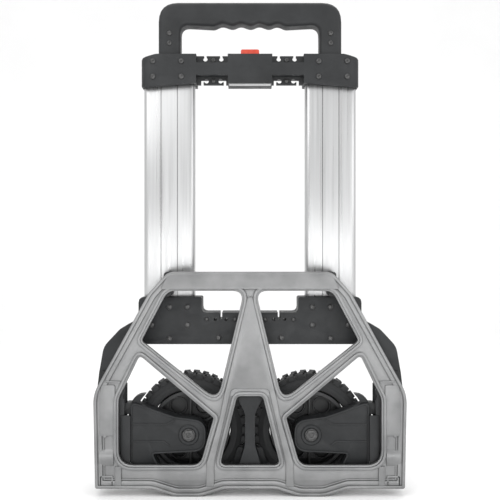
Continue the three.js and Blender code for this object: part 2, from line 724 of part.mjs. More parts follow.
function headBody() {
  const shape = frontSlab(outline(headCorners), HOUSING_FRONT, HOUSING_BACK);
  const body = shape.intersect(
    housingPlan(HEAD_HALF_WIDTH + 0.1, HEAD_BOTTOM - 5, HEAD_TOP + 5),
  );
  const tools = [-1, 1].flatMap((side) => {
    const recess = (z0, z1) =>
      join(
        block(RECESS_INNER, RECESS_OUTER, HOUSING_FRONT - 1, WALL_FRONT, z0, z1),
        block(RECESS_INNER, RECESS_OUTER, WALL_BACK - 1, HOUSING_BACK + 1, z0, z1),
      );
    return [
      recess(WEB_TOP, HEAD_TOP + 1),
      recess(HEAD_BOTTOM - 3, WEB_BOTTOM),
      keyholes(),
      planSlab(stileSection(CLEARANCE), HEAD_BOTTOM - 5, STILE_TOP + CLEARANCE, 4),
      block(
        STILE_X - CHAMBER_HALF, STILE_X + CHAMBER_HALF,
        FRAME_DEPTH - TUBE_ROOM, FRAME_DEPTH + TUBE_ROOM, STILE_TOP - 1, HEAD_TOP + 1,
      ),
      barX(FRAME_DEPTH, BOLT_HEIGHT, BOLT_RADIUS + RUNNING, 0, STILE_INNER),
    ].map((tool) => onSide(side, tool));
  });
  const chamber = block(
    -CENTRE_ROOM, CENTRE_ROOM, FRAME_DEPTH - ROOM_DEPTH, FRAME_DEPTH + ROOM_DEPTH,
    HEAD_MIDDLE_BOTTOM + 3, HEAD_TOP - 4,
  );
  const mouth = block(
    -BUTTON_WIDTH / 2 - RUNNING, BUTTON_WIDTH / 2 + RUNNING,
    FRAME_DEPTH - 8 - RUNNING, FRAME_DEPTH + 8 + RUNNING, HEAD_TOP - 5, HEAD_TOP + 1,
  );
  return cut(body, ...tools, chamber, mouth);
}

// One half of a housing: 1 keeps what lies behind the parting plane, -1 what lies before it.
function half(body, side) {
  const inner = FRAME_DEPTH + (side * CLEARANCE) / 2;
  const outer = FRAME_DEPTH + side * 100;
  return body.intersect(
    block(-300, 300, Math.min(inner, outer), Math.max(inner, outer), 0, TOP + 10),
  );
}

const screwBores = [-1, 1].flatMap((side) =>
  housingScrews.map(([x, z]) =>
    barY(
      side * x, z, SCREW_SHANK_RADIUS + CLEARANCE,
      HOUSING_FRONT - 1, HOUSING_FRONT + SCREW_REACH + 1, 8,
    ),
  ),
);
const head = cut(headBody(), ...screwBores);
add("head_front_shell", half(head, -1), PLASTIC);
add("head_rear_shell", half(head, 1), PLASTIC);

const BLOCK_INNER = 78;
function bracketBody() {
  const side = [
    [-BRACKET_HALF_WIDTH, BRACKET_BOTTOM, 3],
    [BRACKET_HALF_WIDTH, BRACKET_BOTTOM, 3],
    [BRACKET_HALF_WIDTH, BRACKET_TOP, 9],
    [BLOCK_INNER, BRACKET_TOP, 3],
    [BLOCK_INNER, BRACKET_MIDDLE_TOP, 8],
    [-BLOCK_INNER, BRACKET_MIDDLE_TOP, 8],
    [-BLOCK_INNER, BRACKET_TOP, 3],
    [-BRACKET_HALF_WIDTH, BRACKET_TOP, 9],
  ];
  const body = frontSlab(outline(side), HOUSING_FRONT, HOUSING_BACK);
  const tools = [-1, 1].flatMap((s) =>
    [
      planSlab(stileSection(CLEARANCE), STILE_BOTTOM - CLEARANCE, BRACKET_TOP + 1, 4),
      block(
        0, BLOCK_INNER - 12, FRAME_DEPTH - 18, FRAME_DEPTH + 12,
        BRACKET_BOTTOM + 4, BRACKET_MIDDLE_TOP - 16,
      ),
      block(45, 49, HOUSING_FRONT - 1, HOUSING_BACK + 1, 273, BRACKET_MIDDLE_TOP + 1),
      barY(38.5, 273, 2.4, HOUSING_FRONT - 1, HOUSING_BACK + 1, 10),
      barY(56, 273, 2.4, HOUSING_FRONT - 1, HOUSING_BACK + 1, 10),
    ].map((tool) => onSide(s, tool)),
  );
  return cut(body, ...tools);
}
const bracket = bracketBody();
add("lower_bracket_front", half(bracket, -1), PLASTIC);
add("lower_bracket_rear", half(bracket, 1), PLASTIC);

const panScrew = (x, z, face) =>
  join(
    barY(x, z, SCREW_HEAD_RADIUS, face - SCREW_HEAD_HEIGHT, face - CLEARANCE, 12),
    barY(x, z, SCREW_SHANK_RADIUS, face - SCREW_HEAD_HEIGHT, face + SCREW_REACH, 8),
  );
[-1, 1].forEach((side) =>
  housingScrews.forEach(([x, z], i) => {
    const name = "head_screw_" + (side < 0 ? "left_" : "right_") + (i + 1);
    add(name, panScrew(side * x, z, HOUSING_FRONT), STEEL);
  }),
);

// ---- plate catches: rubber buffers on the stiles that the folded plate rests on ---------------
pair("plate_buffer", RUBBER, (side) => {
  const shape = outline([
    [-6, -19.5, 5],
    [6, -19.5, 5],
    [6, 19.5, 5],
    [-6, 19.5, 5],
  ]);
  const buffer = frontSlab(
    shape, PLATE_THICKNESS + CLEARANCE, FRAME_DEPTH - STILE_DEPTH / 2 - CLEARANCE,
  );
  return buffer.translate([side * 130, 0, PLATE_HEIGHT - 20]);
});

// ---- telescoping handle -------------------------------------------------------------------------
const TUBE_TOP = GRIP_BAR_BOTTOM - 4;
const boltHeights = [0, HANDLE_TRAVEL / 2, HANDLE_TRAVEL].map((lift) => BOLT_HEIGHT - lift);

// The tube's section, smaller by a distance all round.
function tubeSection(less) {
  const [x, y] = [TUBE_WIDTH / 2 - less, TUBE_DEPTH / 2 - less];
  return outline([
    [STILE_X - x, FRAME_DEPTH - y, 2.5],
    [STILE_X + x, FRAME_DEPTH - y, 2.5],
    [STILE_X + x, FRAME_DEPTH + y, 2.5],
    [STILE_X - x, FRAME_DEPTH + y, 2.5],
  ]);
}

function innerTube(side) {
  const outer = planSlab(tubeSection(0), TUBE_BOTTOM, TUBE_TOP, 2);
  const inner = planSlab(tubeSection(TUBE_WALL), TUBE_BOTTOM - 1, TUBE_TOP + 1, 2);
  const holes = boltHeights.map((z) =>
    barX(FRAME_DEPTH, z, BOLT_RADIUS + RUNNING, STILE_X - TUBE_WIDTH, STILE_X, 16),
  );
  return onSide(side, cut(outer, inner, ...holes));
}
pair("inner_tube", ANODISED, innerTube);
pair("tube_end_plug", PLASTIC, (side) => {
  const foot = TUBE_BOTTOM - 4;
  const stem = planSlab(tubeSection(TUBE_WALL + CLEARANCE), foot, TUBE_BOTTOM + 14, 2);
  const flange = planSlab(tubeSection(0), foot, TUBE_BOTTOM - CLEARANCE, 2);
  return onSide(side, join(stem, flange));
});

function gripBody() {
  const legInner = GRIP_HALF_WIDTH - GRIP_LEG_WIDTH;
  const foot = HEAD_TOP + CLEARANCE;
  const scallops = [-3, -1, 1, 3].flatMap((i) => [
    [i * 15 - 13, GRIP_BAR_BOTTOM - 3, 8],
    [i * 15, GRIP_BAR_BOTTOM + 3, 12],
  ]);
  const inside = [
    [-legInner, foot],
    [-legInner, GRIP_BAR_BOTTOM, 12],
    ...scallops,
    [58, GRIP_BAR_BOTTOM - 3, 8],
    [legInner, GRIP_BAR_BOTTOM, 12],
    [legInner, foot],
  ];
  const profile = [
    ...inside,
    [GRIP_HALF_WIDTH, foot],
    [GRIP_HALF_WIDTH, TOP, 32],
    [-GRIP_HALF_WIDTH, TOP, 32],
    [-GRIP_HALF_WIDTH, foot],
  ].reverse();
  const [y0, y1] = [FRAME_DEPTH - GRIP_DEPTH / 2, FRAME_DEPTH + GRIP_DEPTH / 2];
  const body = frontSlab(outline(profile), y0, y1, 4);
  const rounded = sideSlab(
    outline([
      [y0, 0],
      [y1, 0],
      [y1, TOP, 14],
      [y0, TOP, 14],
    ]),
    -GRIP_HALF_WIDTH - 1, GRIP_HALF_WIDTH + 1, 5,
  );
  const sockets = [-1, 1].map((side) =>
    onSide(
      side,
      block(
        STILE_X - TUBE_WIDTH / 2 - CLEARANCE, STILE_X + TUBE_WIDTH / 2 + CLEARANCE,
        FRAME_DEPTH - TUBE_DEPTH / 2 - CLEARANCE, FRAME_DEPTH + TUBE_DEPTH / 2 + CLEARANCE,
        foot - 1, TUBE_TOP + CLEARANCE,
      ),
    ),
  );
  return cut(body.intersect(rounded), ...sockets);
}
const grip = gripBody();
add("grip_front_shell", half(grip, -1), PLASTIC);
add("grip_rear_shell", half(grip, 1), PLASTIC);

// ---- release button, latch bolts and their springs --------------------------------------------
// Each bolt carries a cross pin in a slanted slot of the button, so pressing draws both bolts in.
const BOLT_INNER = 8;
const BOLT_TIP = STILE_X - TUBE_WIDTH / 2 - CLEARANCE; // drawn back to the tube's face
const CROSS_PIN = 1.5;
const CROSS_PIN_X = 16;
const SLIDE_FRONT = FRAME_DEPTH - 8;
const SLIDE_BACK = FRAME_DEPTH - 5;
const SLIDE_BOTTOM = BOLT_HEIGHT - 5;
const SPRING_LENGTH = SLIDE_BOTTOM - HEAD_MIDDLE_BOTTOM - 3 - 2 * CLEARANCE;

function releaseButton() {
  const top = HEAD_TOP + BUTTON_RISE;
  const cap = frontSlab(
    outline([
      [-BUTTON_WIDTH / 2, HEAD_TOP - 9],
      [BUTTON_WIDTH / 2, HEAD_TOP - 9],
      [BUTTON_WIDTH / 2, top, 3],
      [-BUTTON_WIDTH / 2, top, 3],
    ]),
    FRAME_DEPTH - 8, FRAME_DEPTH + 8,
  );
  const slide = block(-22, 22, SLIDE_FRONT, SLIDE_BACK, SLIDE_BOTTOM, HEAD_TOP - 8);
  const notch = block(-23, 23, SLIDE_FRONT - 1, SLIDE_BACK + 1, HEAD_TOP - 9, HEAD_TOP);
  const slots = [-1, 1].map((side) => {
    const r = CROSS_PIN + RUNNING;
    const across = r / Math.SQRT2;
    const [x, z, run] = [CROSS_PIN_X, BOLT_HEIGHT, BUTTON_TRAVEL];
    const slot = outline([
      [x + across, z + across],
      [x - run + across, z + run + across],
      [x - run - across, z + run - across],
      [x - across, z - across],
    ]);
    const ends = [0, run].map((step) =>
      barY(x - step, z + step, r, SLIDE_FRONT - 1, SLIDE_BACK + 1),
    );
    return onSide(side, join(frontSlab(slot, SLIDE_FRONT - 1, SLIDE_BACK + 1), ...ends));
  });
  const narrowed = cut(slide, notch);
  const neck = block(
    -BUTTON_WIDTH / 2, BUTTON_WIDTH / 2, SLIDE_FRONT, SLIDE_BACK, HEAD_TOP - 12, HEAD_TOP - 5,
  );
  return join(cap, neck, cut(narrowed, ...slots));
}
add("release_button", releaseButton(), RED);

pair("latch_bolt", STEEL, (side) =>
  onSide(
    side,
    join(
      barX(FRAME_DEPTH, BOLT_HEIGHT, BOLT_RADIUS, BOLT_INNER, BOLT_TIP, 16),
      barY(CROSS_PIN_X, BOLT_HEIGHT, CROSS_PIN, SLIDE_FRONT + 0.5, FRAME_DEPTH, 12),
    ),
  ),
);
add(
  "button_spring",
  coil(3, 0.6, SPRING_LENGTH, 5).translate(
    0, FRAME_DEPTH - 5, HEAD_MIDDLE_BOTTOM + 3 + CLEARANCE,
  ),
  STEEL,
);

export default truck;
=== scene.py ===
# Folding hand truck, shown folded: the looks of each piece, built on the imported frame.
import math

import bmesh
import bpy
from mathutils import Matrix, Vector


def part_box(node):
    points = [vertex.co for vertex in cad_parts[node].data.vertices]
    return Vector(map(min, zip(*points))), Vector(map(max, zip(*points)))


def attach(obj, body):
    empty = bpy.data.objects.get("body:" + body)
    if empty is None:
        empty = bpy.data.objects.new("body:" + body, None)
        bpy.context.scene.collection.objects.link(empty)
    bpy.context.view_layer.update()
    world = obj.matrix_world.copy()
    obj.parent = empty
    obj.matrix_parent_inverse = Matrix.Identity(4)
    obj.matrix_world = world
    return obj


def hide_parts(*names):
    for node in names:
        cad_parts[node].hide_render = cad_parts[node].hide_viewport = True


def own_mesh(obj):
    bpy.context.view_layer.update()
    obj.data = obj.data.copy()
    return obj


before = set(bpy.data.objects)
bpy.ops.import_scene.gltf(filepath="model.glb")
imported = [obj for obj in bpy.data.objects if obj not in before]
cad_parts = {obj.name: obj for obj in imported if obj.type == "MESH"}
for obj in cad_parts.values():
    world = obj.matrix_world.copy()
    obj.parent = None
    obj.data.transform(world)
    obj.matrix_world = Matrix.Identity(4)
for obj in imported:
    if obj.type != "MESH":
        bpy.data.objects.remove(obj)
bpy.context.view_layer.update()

# ---- toe plate -----------------------------------------------------------------------------
# The real plate is one aluminium die casting. Its ribbed underside faces the viewer while it is
# folded: a rim round the outline, a lip round each window, and a flat A-shaped panel between them.
# Two lugs at its foot turn on the hinge rod.
MM = 0.001
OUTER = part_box("toe_plate")[0].y  # depths below are millimetres behind the plate's outer face


def rounded(corners, steps=6):
    """Points of a closed outline from corners (u, v, radius); no radius makes a sharp corner."""
    points = []
    for i, (u, v, *radius) in enumerate(corners):
        corner = Vector((u, v))
        if not radius:
            points.append(corner)
            continue
        before = Vector(corners[i - 1][:2]) - corner
        after = Vector(corners[(i + 1) % len(corners)][:2]) - corner
        back = radius[0] * math.tan((math.pi - before.angle(after)) / 2)
        start = corner + before.normalized() * back
        end = corner + after.normalized() * back
        for step in range(steps + 1):
            t = step / steps
            points.append(start * (1 - t) ** 2 + corner * 2 * t * (1 - t) + end * t * t)
    return points


def inset(corners, distance):
    """The same corners moved sideways: positive shrinks an outline that turns left."""
    moved = []
    for i, (u, v, *radius) in enumerate(corners):
        corner = Vector((u, v))
        a = (corner - Vector(corners[i - 1][:2])).normalized()
        b = (Vector(corners[(i + 1) % len(corners)][:2]) - corner).normalized()
        side = Vector((-a.y - b.y, a.x + b.x)) * (distance / (1 + a.dot(b)))
        turn = 1 if a.cross(b) > 0 else -1
        size = [max(radius[0] - turn * distance, 1)] if radius else []
        moved.append((u + side.x, v + side.y, *size))
    return moved


def mirrored(corners):
    return [(-u, v, *radius) for u, v, *radius in reversed(corners)]


def placed(mesh, axis):
    """Turns a shape drawn in (u, v) with its height along w to an axis, and makes it metres."""
    turn = {
        "X": Matrix(((0, 0, 1, 0), (1, 0, 0, 0), (0, 1, 0, 0), (0, 0, 0, 1))),
        "Y": Matrix(((1, 0, 0, 0), (0, 0, 1, 0), (0, 1, 0, 0), (0, 0, 0, 1))),
        "Z": Matrix.Identity(4),
    }[axis]
    mesh.transform(Matrix.Translation((0, OUTER, 0)) @ Matrix.Scale(MM, 4) @ turn)
    return mesh


def prism(outlines, axis, start, end, edge=0.8, segments=2):
    """A slab of the first outline with the others as holes, its edges rounded.
    Outlines are (x, z) for axis Y, (depth, z) for X and (x, depth) for Z."""
    drawing = bpy.data.curves.new("drawing", "CURVE")
    drawing.dimensions = "2D"
    drawing.fill_mode = "BOTH"
    drawing.extrude = (end - start) / 2 - edge
    drawing.bevel_depth = edge
    drawing.bevel_resolution = segments
    drawing.offset = -edge
    for i, corners in enumerate(outlines):
        points = rounded(corners)
        area = sum(p.cross(q) for p, q in zip(points, points[1:] + points[:1]))
        if (area > 0) == (i > 0):
            points.reverse()
        spline = drawing.splines.new("POLY")
        spline.points.add(len(points) - 1)
        for target, point in zip(spline.points, points):
            target.co = (point.x, point.y, 0, 1)
        spline.use_cyclic_u = True
    holder = bpy.data.objects.new("drawing", drawing)
    mesh = bpy.data.meshes.new_from_object(holder)
    bpy.data.objects.remove(holder)
    bpy.data.curves.remove(drawing)
    mesh.transform(Matrix.Translation((0, 0, (start + end) / 2)))
    return placed(mesh, axis)


def both(*parts):
    """Each part and its mirror image on the left."""
    images = []
    for part in parts:
        image = part.copy()
        image.transform(Matrix.Scale(-1, 4, (1, 0, 0)))
        images += [part, image]
    return images


def turned(profile, axis, at, steps=40):
    """A turned shape: profile (radius, distance along the axis), from axis to axis or closed."""
    bm = bmesh.new()
    points = [bm.verts.new((r, 0, w)) for r, w in profile]
    edges = [bm.edges.new(pair) for pair in zip(points, points[1:])]
    if profile[0][0] > 0:
        edges.append(bm.edges.new((points[-1], points[0])))
    bmesh.ops.spin(
        bm, geom=points + edges, cent=(0, 0, 0), axis=(0, 0, 1),
        angle=math.tau, steps=steps, use_merge=True, use_duplicate=False,
    )
    bmesh.ops.remove_doubles(bm, verts=bm.verts, dist=1e-4)
    bmesh.ops.translate(bm, verts=bm.verts, vec=(*at, 0))
    mesh = bpy.data.meshes.new("turned")
    bm.to_mesh(mesh)
    bm.free()
    return placed(mesh, axis)


def trimmed(mesh, point, normal):
    """Cuts a shape with a plane, in metres, drops what lies on the normal's side and closes it."""
    bm = bmesh.new()
    bm.from_mesh(mesh)
    bmesh.ops.remove_doubles(bm, verts=bm.verts, dist=1e-6)
    everything = bm.verts[:] + bm.edges[:] + bm.faces[:]
    bmesh.ops.bisect_plane(bm, geom=everything, plane_co=point, plane_no=normal, clear_outer=True)
    bmesh.ops.holes_fill(bm, edges=[e for e in bm.edges if e.is_boundary])
    bm.to_mesh(mesh)
    bm.free()
    return mesh


def rod(axis, at, radius, start, end, edge=0.6, steps=24):
    """A round bar with small chamfers at its ends."""
    profile = [(0, start), (radius - edge, start), (radius, start + edge)]
    profile += [(radius, end - edge), (radius - edge, end), (0, end)]
    return turned(profile, axis, at, steps)


def piece(name, parts, body, finish, nodes=(), crease=30):
    """Joins meshes into one piece that rides on a body and stands for CAD nodes."""
    bm = bmesh.new()
    for part in parts:
        bm.from_mesh(part)
    bmesh.ops.remove_doubles(bm, verts=bm.verts, dist=2e-6)
    bmesh.ops.recalc_face_normals(bm, faces=bm.faces)
    mesh = bpy.data.meshes.new(name)
    bm.to_mesh(mesh)
    bm.free()
    mesh.shade_smooth()
    mesh.set_sharp_from_angle(angle=math.radians(crease))
    mesh.materials.clear()
    mesh.materials.append(finish)
    made = bpy.data.objects.new(name, mesh)
    bpy.context.scene.collection.objects.link(made)
    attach(made, body)
    if nodes:
        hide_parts(*nodes)
    return made


def new_material(name, metallic=0.0):
    """An empty procedural material: its node tree and its main shader."""
    made = bpy.data.materials.new(name)
    made.use_nodes = True
    shader = made.node_tree.nodes["Principled BSDF"]
    shader.inputs["Metallic"].default_value = metallic
    return made, made.node_tree, shader


def noise(tree, scale, stretch=(1, 1, 1), detail=4):
    """Noise on object coordinates, with scale in patches per metre."""
    place = tree.nodes.new("ShaderNodeTexCoord")
    mapping = tree.nodes.new("ShaderNodeMapping")
    mapping.inputs["Scale"].default_value = stretch
    texture = tree.nodes.new("ShaderNodeTexNoise")
    texture.inputs["Scale"].default_value = scale
    texture.inputs["Detail"].default_value = detail
    tree.links.new(place.outputs["Object"], mapping.inputs["Vector"])
    tree.links.new(mapping.outputs["Vector"], texture.inputs["Vector"])
    return texture.outputs["Fac"]


def remap(tree, source, low, high, start=0.3, end=0.7):
    """Spreads a 0 to 1 source between two values."""
    node = tree.nodes.new("ShaderNodeMapRange")
    for socket, value in (("From Min", start), ("From Max", end), ("To Min", low), ("To Max", high)):
        node.inputs[socket].default_value = value
    tree.links.new(source, node.inputs["Value"])
    return node.outputs["Result"]


def tint(tree, source, first, second, start=0.3, end=0.7):
    """Spreads a 0 to 1 source between two colours."""
    node = tree.nodes.new("ShaderNodeValToRGB")
    for element, position, colour in zip(node.color_ramp.elements, (start, end), (first, second)):
        element.position = position
        element.color = (*colour, 1)
    tree.links.new(source, node.inputs["Fac"])
    return node.outputs["Color"]


def multiplied(tree, first, second):
    """Product of two colours."""
    node = tree.nodes.new("ShaderNodeVectorMath")
    node.operation = "MULTIPLY"
    tree.links.new(first, node.inputs[0])
    tree.links.new(second, node.inputs[1])
    return node.outputs["Vector"]


def painted_crevice_shade(tree, distance, dark):
    """Painted shade: white on open faces, and dark where another face is close by."""
    node = tree.nodes.new("ShaderNodeAmbientOcclusion")
    node.samples = 6
    node.inputs["Distance"].default_value = distance
    return tint(tree, node.outputs["AO"], dark, (1, 1, 1), 0.25, 0.9)


def bumped(tree, shader, source, distance, strength=0.5):
    """Adds a height pattern to whatever bump the shader already has."""
    node = tree.nodes.new("ShaderNodeBump")
    node.inputs["Distance"].default_value = distance
    node.inputs["Strength"].default_value = strength
    tree.links.new(source, node.inputs["Height"])
    if shader.inputs["Normal"].links:
        tree.links.new(shader.inputs["Normal"].links[0].from_socket, node.inputs["Normal"])
    tree.links.new(node.outputs["Normal"], shader.inputs["Normal"])


cast, tree, shader = new_material("cast_aluminium", metallic=0.75)
patches = noise(tree, 26)
grain = noise(tree, 900, detail=6)
metal = tint(tree, patches, (0.19, 0.192, 0.194), (0.27, 0.272, 0.273))
# Base colour: patchy metal tone times painted shade that darkens it where faces are close together.
tree.links.new(
    multiplied(tree, metal, painted_crevice_shade(tree, 0.005, (0.66, 0.66, 0.66))), shader.inputs["Base Color"]
)
tree.links.new(remap(tree, patches, 0.28, 0.42), shader.inputs["Roughness"])
bumped(tree, shader, grain, 0.00025, 0.45)
bumped(tree, shader, noise(tree, 120), 0.0004, 0.3)

HALF = 245
PLATE_HEIGHT = 351
WHEEL = (97, 92)  # x and z of the right wheel's axle
plate_side = [(HALF - 3, 12, 4), (HALF, 160, 60)]
plate_side += [(HALF - 87, PLATE_HEIGHT - 33, 40), (HALF - 117, PLATE_HEIGHT, 22)]


def lobe(x):
    return [(x - 57, 12, 30), (x - 19, 0, 45), (x + 19, 0, 45), (x + 57, 12, 30)]


plate = lobe(-WHEEL[0]) + lobe(WHEEL[0]) + plate_side + mirrored(plate_side)
upper = [(129, 321, 20), (170, 243, 6), (51, 148, 16), (9, 321, 15)]
upper.reverse()
lower = [(78, 48, 18), (206, 48, 24), (206, 152, 30), (173, 220, 6), (57, 122, 4)]
centre = [(-47, 48, 8), (47, 48, 8), (20, 156, 8), (-20, 156, 8)]
windows = [upper, mirrored(upper), lower, mirrored(lower), centre]
panel = [(69, 15, 2), (68, 52, 3), (47, 125, 5), (42, 152, 5), (4, 312, 3)]
panel_inside = [(29, 168, 8), (56, 52, 3), (56, 15, 2)]
panel_outline = [*panel, *mirrored(panel), *mirrored(panel_inside), *panel_inside]
bar = [(140, 323.5, 3), (HALF - 117.5, PLATE_HEIGHT - 0.5, 21)]
pocket = [(214, 15, 2), (235, 15, 2), (235, 32, 2), (214, 32, 2)]
lug = [(9, 16), (32, 17, 12), (47, 32, 12), (32, 47, 12), (9, 60)]
lug_hole = [(32 + 5.3 * math.cos(a), 32 + 5.3 * math.sin(a)) for a in
            [math.tau * i / 24 for i in range(24)]]

barrel = rod("X", (27, 60), 26.4, 213, 237, steps=72)
trimmed(barrel, (0, OUTER + 11 * MM, 0), (0, 1, 0))
band = prism([inset(plate, 13.5), inset(plate, 15.5)], "Y", 2.6, 6, 0.6)
trimmed(band, (0, 0, 170 * MM), (0, 0, 1))
side_panel = [(211, 94, 4), (235, 94, 4), (235, 160, 20), (233, 174, 3), (211, 174, 3)]

plate_parts = [
    prism([inset(plate, 11.5), *windows], "Y", 4, 12, 1),
    prism([plate, inset(plate, 5)], "Y", 0, 12, 1.2),
    prism([inset(plate, 4), inset(plate, 12)], "Y", 2.4, 11.5, 0.8),
    band,
    prism([panel_outline], "Y", 1.4, 6, 1),
    prism([[*bar, *mirrored(bar)]], "Y", 0.2, 6, 1.2),
    *[prism([inset(w, -7.5), inset(w, -3)], "Y", 0.5, 6, 1) for w in windows],
    *both(
        barrel,
        prism([side_panel], "Y", 1.8, 6, 0.8),
        prism([pocket, inset(pocket, 3)], "Y", 2.4, 6, 0.8),
        prism([[(201, 14, 1), (211, 14, 1), (211, 47, 1), (201, 47, 1)]], "Y", 1.4, 6, 0.8),
        prism([[(203, 177, 1), (231, 178, 1), (231, 181, 1), (202, 180, 1)]], "Y", 1.6, 6, 0.7),
        rod("Y", (227, 94), 2.6, 1.5, 6),
        prism([lug, lug_hole], "X", 224.3, 231.3),
    ),
]
piece("plate_casting", plate_parts, "toe_plate", cast, ["toe_plate"])

# ---- wheels ------------------------------------------------------------------------------------
# Each real wheel is a black moulded rim with six round holes and radial ribs on two ball bearings,
# inside a rubber tyre with a blocky tread. A cap covers the axle's end at the back.
rubber, tree, shader = new_material("tyre_rubber")
dust = noise(tree, 18)
# Base colour: rubber tone varied by dust, times painted shade in the tread's gaps and other close
# corners.
tree.links.new(
    multiplied(
        tree, tint(tree, dust, (0.016, 0.017, 0.018), (0.034, 0.035, 0.036)),
        painted_crevice_shade(tree, 0.006, (0.35, 0.35, 0.35)),
    ),
    shader.inputs["Base Color"],
)
tree.links.new(remap(tree, dust, 0.6, 0.8), shader.inputs["Roughness"])
bumped(tree, shader, noise(tree, 1400, detail=2), 0.0002, 0.4)
bumped(tree, shader, noise(tree, 90), 0.0005, 0.3)

moulded, tree, shader = new_material("wheel_plastic")
flow = noise(tree, 30)
# Base colour: moulded tone times painted shade where faces are close together.
tree.links.new(
    multiplied(
        tree, tint(tree, flow, (0.014, 0.015, 0.016), (0.026, 0.027, 0.028)),
        painted_crevice_shade(tree, 0.012, (0.4, 0.4, 0.4)),
    ),
    shader.inputs["Base Color"],
)
tree.links.new(remap(tree, flow, 0.38, 0.55), shader.inputs["Roughness"])
bumped(tree, shader, noise(tree, 1800, detail=2), 0.00012, 0.35)

steel, tree, shader = new_material("steel", metallic=0.95)
marks = noise(tree, 60, (1, 1, 6))
tree.links.new(
    tint(tree, marks, (0.36, 0.36, 0.36), (0.52, 0.52, 0.52)), shader.inputs["Base Color"]
)
tree.links.new(remap(tree, marks, 0.25, 0.42), shader.inputs["Roughness"])
bumped(tree, shader, noise(tree, 1500), 0.0001, 0.25)

black_steel, tree, shader = new_material("black_steel", metallic=0.8)
oxide = noise(tree, 240)
tree.links.new(
    tint(tree, oxide, (0.05, 0.05, 0.05), (0.11, 0.11, 0.11)), shader.inputs["Base Color"]
)
tree.links.new(remap(tree, oxide, 0.28, 0.45), shader.inputs["Roughness"])
bumped(tree, shader, noise(tree, 2200, detail=2), 0.0001, 0.3)

SIDES = ((-1, "left"), (1, "right"))
RIM_HOLES = 6
TREAD_LUGS = 36


def sided(side, parts):
    """Parts drawn for the right side, mirrored for the left one."""
    if side < 0:
        for part in parts:
            part.transform(Matrix.Scale(-1, 4, (1, 0, 0)))
    return parts


def circle(centre, radius, points=32):
    """A closed round outline."""
    angles = [math.tau * i / points for i in range(points)]
    return [(centre[0] + radius * math.cos(a), centre[1] + radius * math.sin(a)) for a in angles]


def around(part, count, first=0.0):
    """Copies of a part in a ring round the right wheel's axle, starting at an angle."""
    axle = Matrix.Translation((WHEEL[0] * MM, 0, WHEEL[1] * MM))
    copies = []
    for i in range(count):
        turn = Matrix.Rotation(first + math.tau * i / count, 4, "Y")
        copy = part.copy()
        copy.transform(axle @ turn @ axle.inverted())
        copies.append(copy)
    return copies


def lug_block(depth, width, reach, length):
    """A tread block at the top of the right tyre, sunk into the carcass."""
    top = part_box("tyre_right")[1].z / MM - 0.1
    half = length / 2
    outline = [(WHEEL[0] - half, top - reach), (WHEEL[0] + half, top - reach)]
    outline += [(WHEEL[0] + half - 1, top, 1), (WHEEL[0] - half + 1, top, 1)]
    return prism([outline], "Y", depth, depth + width, 0.9, 1)


carcass = [(65, 55), (67, 51.5), (71, 50.4), (73, 49.9), (76, 50), (77.5, 51), (83, 51.8)]
carcass += [(87.5, 54), (89, 60), (89, 88), (87.5, 94), (83, 96.2), (77.5, 97)]
carcass += [(76, 98), (73, 98), (71, 97.6), (67, 96.5), (65, 93)]
rim_barrel = [(58.5, 53), (63.5, 53), (64, 55), (64, 93), (63.5, 95), (58.5, 95), (58.5, 55)]
hub = [(12, 48), (19, 48), (21, 51), (22, 72), (22, 76), (21, 95), (19, 98), (12, 98)]
race = [(6.4, 48.6), (8.4, 48.6), (9, 49.2), (13.2, 49.2), (13.8, 48.6), (16, 48.6), (16, 58)]
race.append((6.4, 58))
cap = [(0, 103.9), (9, 103.7), (12.6, 102.6), (14.6, 100.6), (15, 98.3), (0, 98.3)]
for side, name in SIDES:
    body = "wheel_" + name
    tread = [
        *around(lug_block(50.6, 15, 8, 12), TREAD_LUGS),
        *around(lug_block(82.4, 15, 8, 12), TREAD_LUGS, math.pi / TREAD_LUGS),
        *around(lug_block(67.5, 13, 6, 10), TREAD_LUGS, math.pi / TREAD_LUGS / 2),
    ]
    tyre_parts = [turned(carcass, "Y", WHEEL, 90), *tread]
    piece("tyre_tread_" + name, sided(side, tyre_parts), body, rubber,
          ["tyre_" + name])
    holes = [
        circle((WHEEL[0] + 42 * math.cos(a), WHEEL[1] + 42 * math.sin(a)), 12.5)
        for a in [math.tau * i / RIM_HOLES for i in range(RIM_HOLES)]
    ]
    rib = prism([[(95.2, 108), (98.8, 108), (98.8, 152), (95.2, 152)]], "Y", 56, 92, 0.8)
    hole_lip = prism(
        [circle((97, 134), 15.5), circle((97, 134), 12.6)], "Y", 68, 80, 0.8,
    )
    rim_parts = [
        prism([circle(WHEEL, 60, 64), circle(WHEEL, 14), *holes], "Y", 69.5, 76, 0.6),
        prism([circle(WHEEL, 59, 64), circle(WHEEL, 14)], "Y", 76.2, 79, 0.4),
        turned(rim_barrel, "Y", WHEEL, 72),
        turned(hub, "Y", WHEEL, 48),
        *around(rib, RIM_HOLES),
        *around(hole_lip, RIM_HOLES, math.pi / RIM_HOLES),
    ]
    piece("rim_moulding_" + name, sided(side, rim_parts), body, moulded,
          ["rim_" + name])
    piece("bearing_race_" + name, sided(side, [turned(race, "Y", WHEEL)]), body,
          steel, ["inner_bearing_" + name])
    piece("hub_dome_" + name, sided(side, [turned(cap, "Y", WHEEL)]), body,
          moulded, ["hub_cap_" + name])

# ---- wheel arms ----------------------------------------------------------------------------------
# Each real arm is a stiff black moulding with a raised rim, two ribs and a dished lobe. Its
# knuckles turn on a steel pin in the side post, and a hexagon bolt at its end carries the wheel.
plastic, tree, shader = new_material("black_plastic")
flow = noise(tree, 22)
